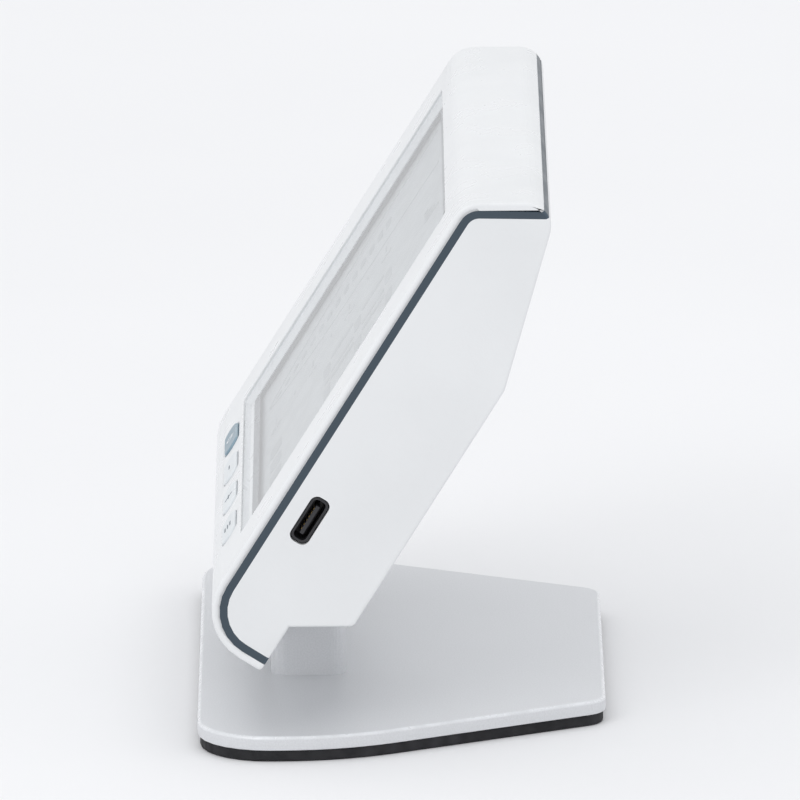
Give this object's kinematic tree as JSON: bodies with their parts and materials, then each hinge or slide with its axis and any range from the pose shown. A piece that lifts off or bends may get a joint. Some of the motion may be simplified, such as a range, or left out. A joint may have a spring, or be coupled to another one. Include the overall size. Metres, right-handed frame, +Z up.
{
  "type": "apex locator",
  "caption": "Tilting display head with a glossy window and four keys, hinged on a short neck above a tapered flat metal base plate with a rubber pad.",
  "frame": {"origin": "centre of the underside of the base pad", "axes": "+X to the right-hand side of someone facing the screen, which is the side with the charging socket; +Y from the screen towards the back; +Z up"},
  "size_m": [0.1116, 0.062, 0.0861],
  "materials": {
    "plate_metal": "fine satin light grey",
    "pad_rubber": "matt black",
    "steel": "bright",
    "white_plastic": "satin white",
    "band_plastic": "satin blue grey",
    "housing_plastic": "fine satin, very light grey",
    "lens": "glossy",
    "display": "grey display, switched off",
    "circuit_board": "green solder mask",
    "dark_plastic": "matt black",
    "ribbon": "amber film",
    "battery_wrap": "blue film",
    "power_key": "satin blue grey",
    "key_plastic": "satin light grey"
  },
  "bodies": {
    "stand": {"base_plate": "plate_metal", "base_pad": "pad_rubber", "hinge_neck": "plate_metal", "neck_screws": "steel", "hinge_pin": "steel", "friction_washers": "steel", "pin_clips": "steel"},
    "head": {"front_cover": "white_plastic", "trim_band": "band_plastic", "rear_housing": "housing_plastic", "screen_lens": "lens", "lcd_panel": "display", "backlight": "white_plastic", "main_board": "circuit_board", "board_chips": "dark_plastic", "display_ribbon": "ribbon", "key_board": "circuit_board", "key_switches": "dark_plastic", "battery": "battery_wrap", "battery_cover": "housing_plastic", "battery_cover_screw": "steel", "speaker": "dark_plastic", "charge_socket": "dark_plastic", "lead_socket": "dark_plastic", "hinge_bracket_left": "steel", "hinge_bracket_right": "steel", "bracket_screws": "steel", "housing_screws": "steel"},
    "power_key": {"power_key": "power_key"},
    "minus_key": {"minus_key": "key_plastic"},
    "plus_key": {"plus_key": "key_plastic"},
    "menu_key": {"menu_key": "key_plastic"}
  },
  "joints": [
    {"name": "head_tilt", "type": "hinge", "parent": "stand", "child": "head", "pos_m": [0, -0.0133, 0.0198], "axis": [1, 0, 0], "range_deg": [-30, 25]},
    {"name": "power_press", "type": "slide", "parent": "head", "child": "power_key", "axis": [0, 0.8453, -0.5344], "range_m": [0, 0.0005], "stiffness_N_per_m": 1500},
    {"name": "minus_press", "type": "slide", "parent": "head", "child": "minus_key", "axis": [0, 0.8453, -0.5344], "range_m": [0, 0.0005], "stiffness_N_per_m": 1500},
    {"name": "plus_press", "type": "slide", "parent": "head", "child": "plus_key", "axis": [0, 0.8453, -0.5344], "range_m": [0, 0.0005], "stiffness_N_per_m": 1500},
    {"name": "menu_press", "type": "slide", "parent": "head", "child": "menu_key", "axis": [0, 0.8453, -0.5344], "range_m": [0, 0.0005], "stiffness_N_per_m": 1500}
  ]
}
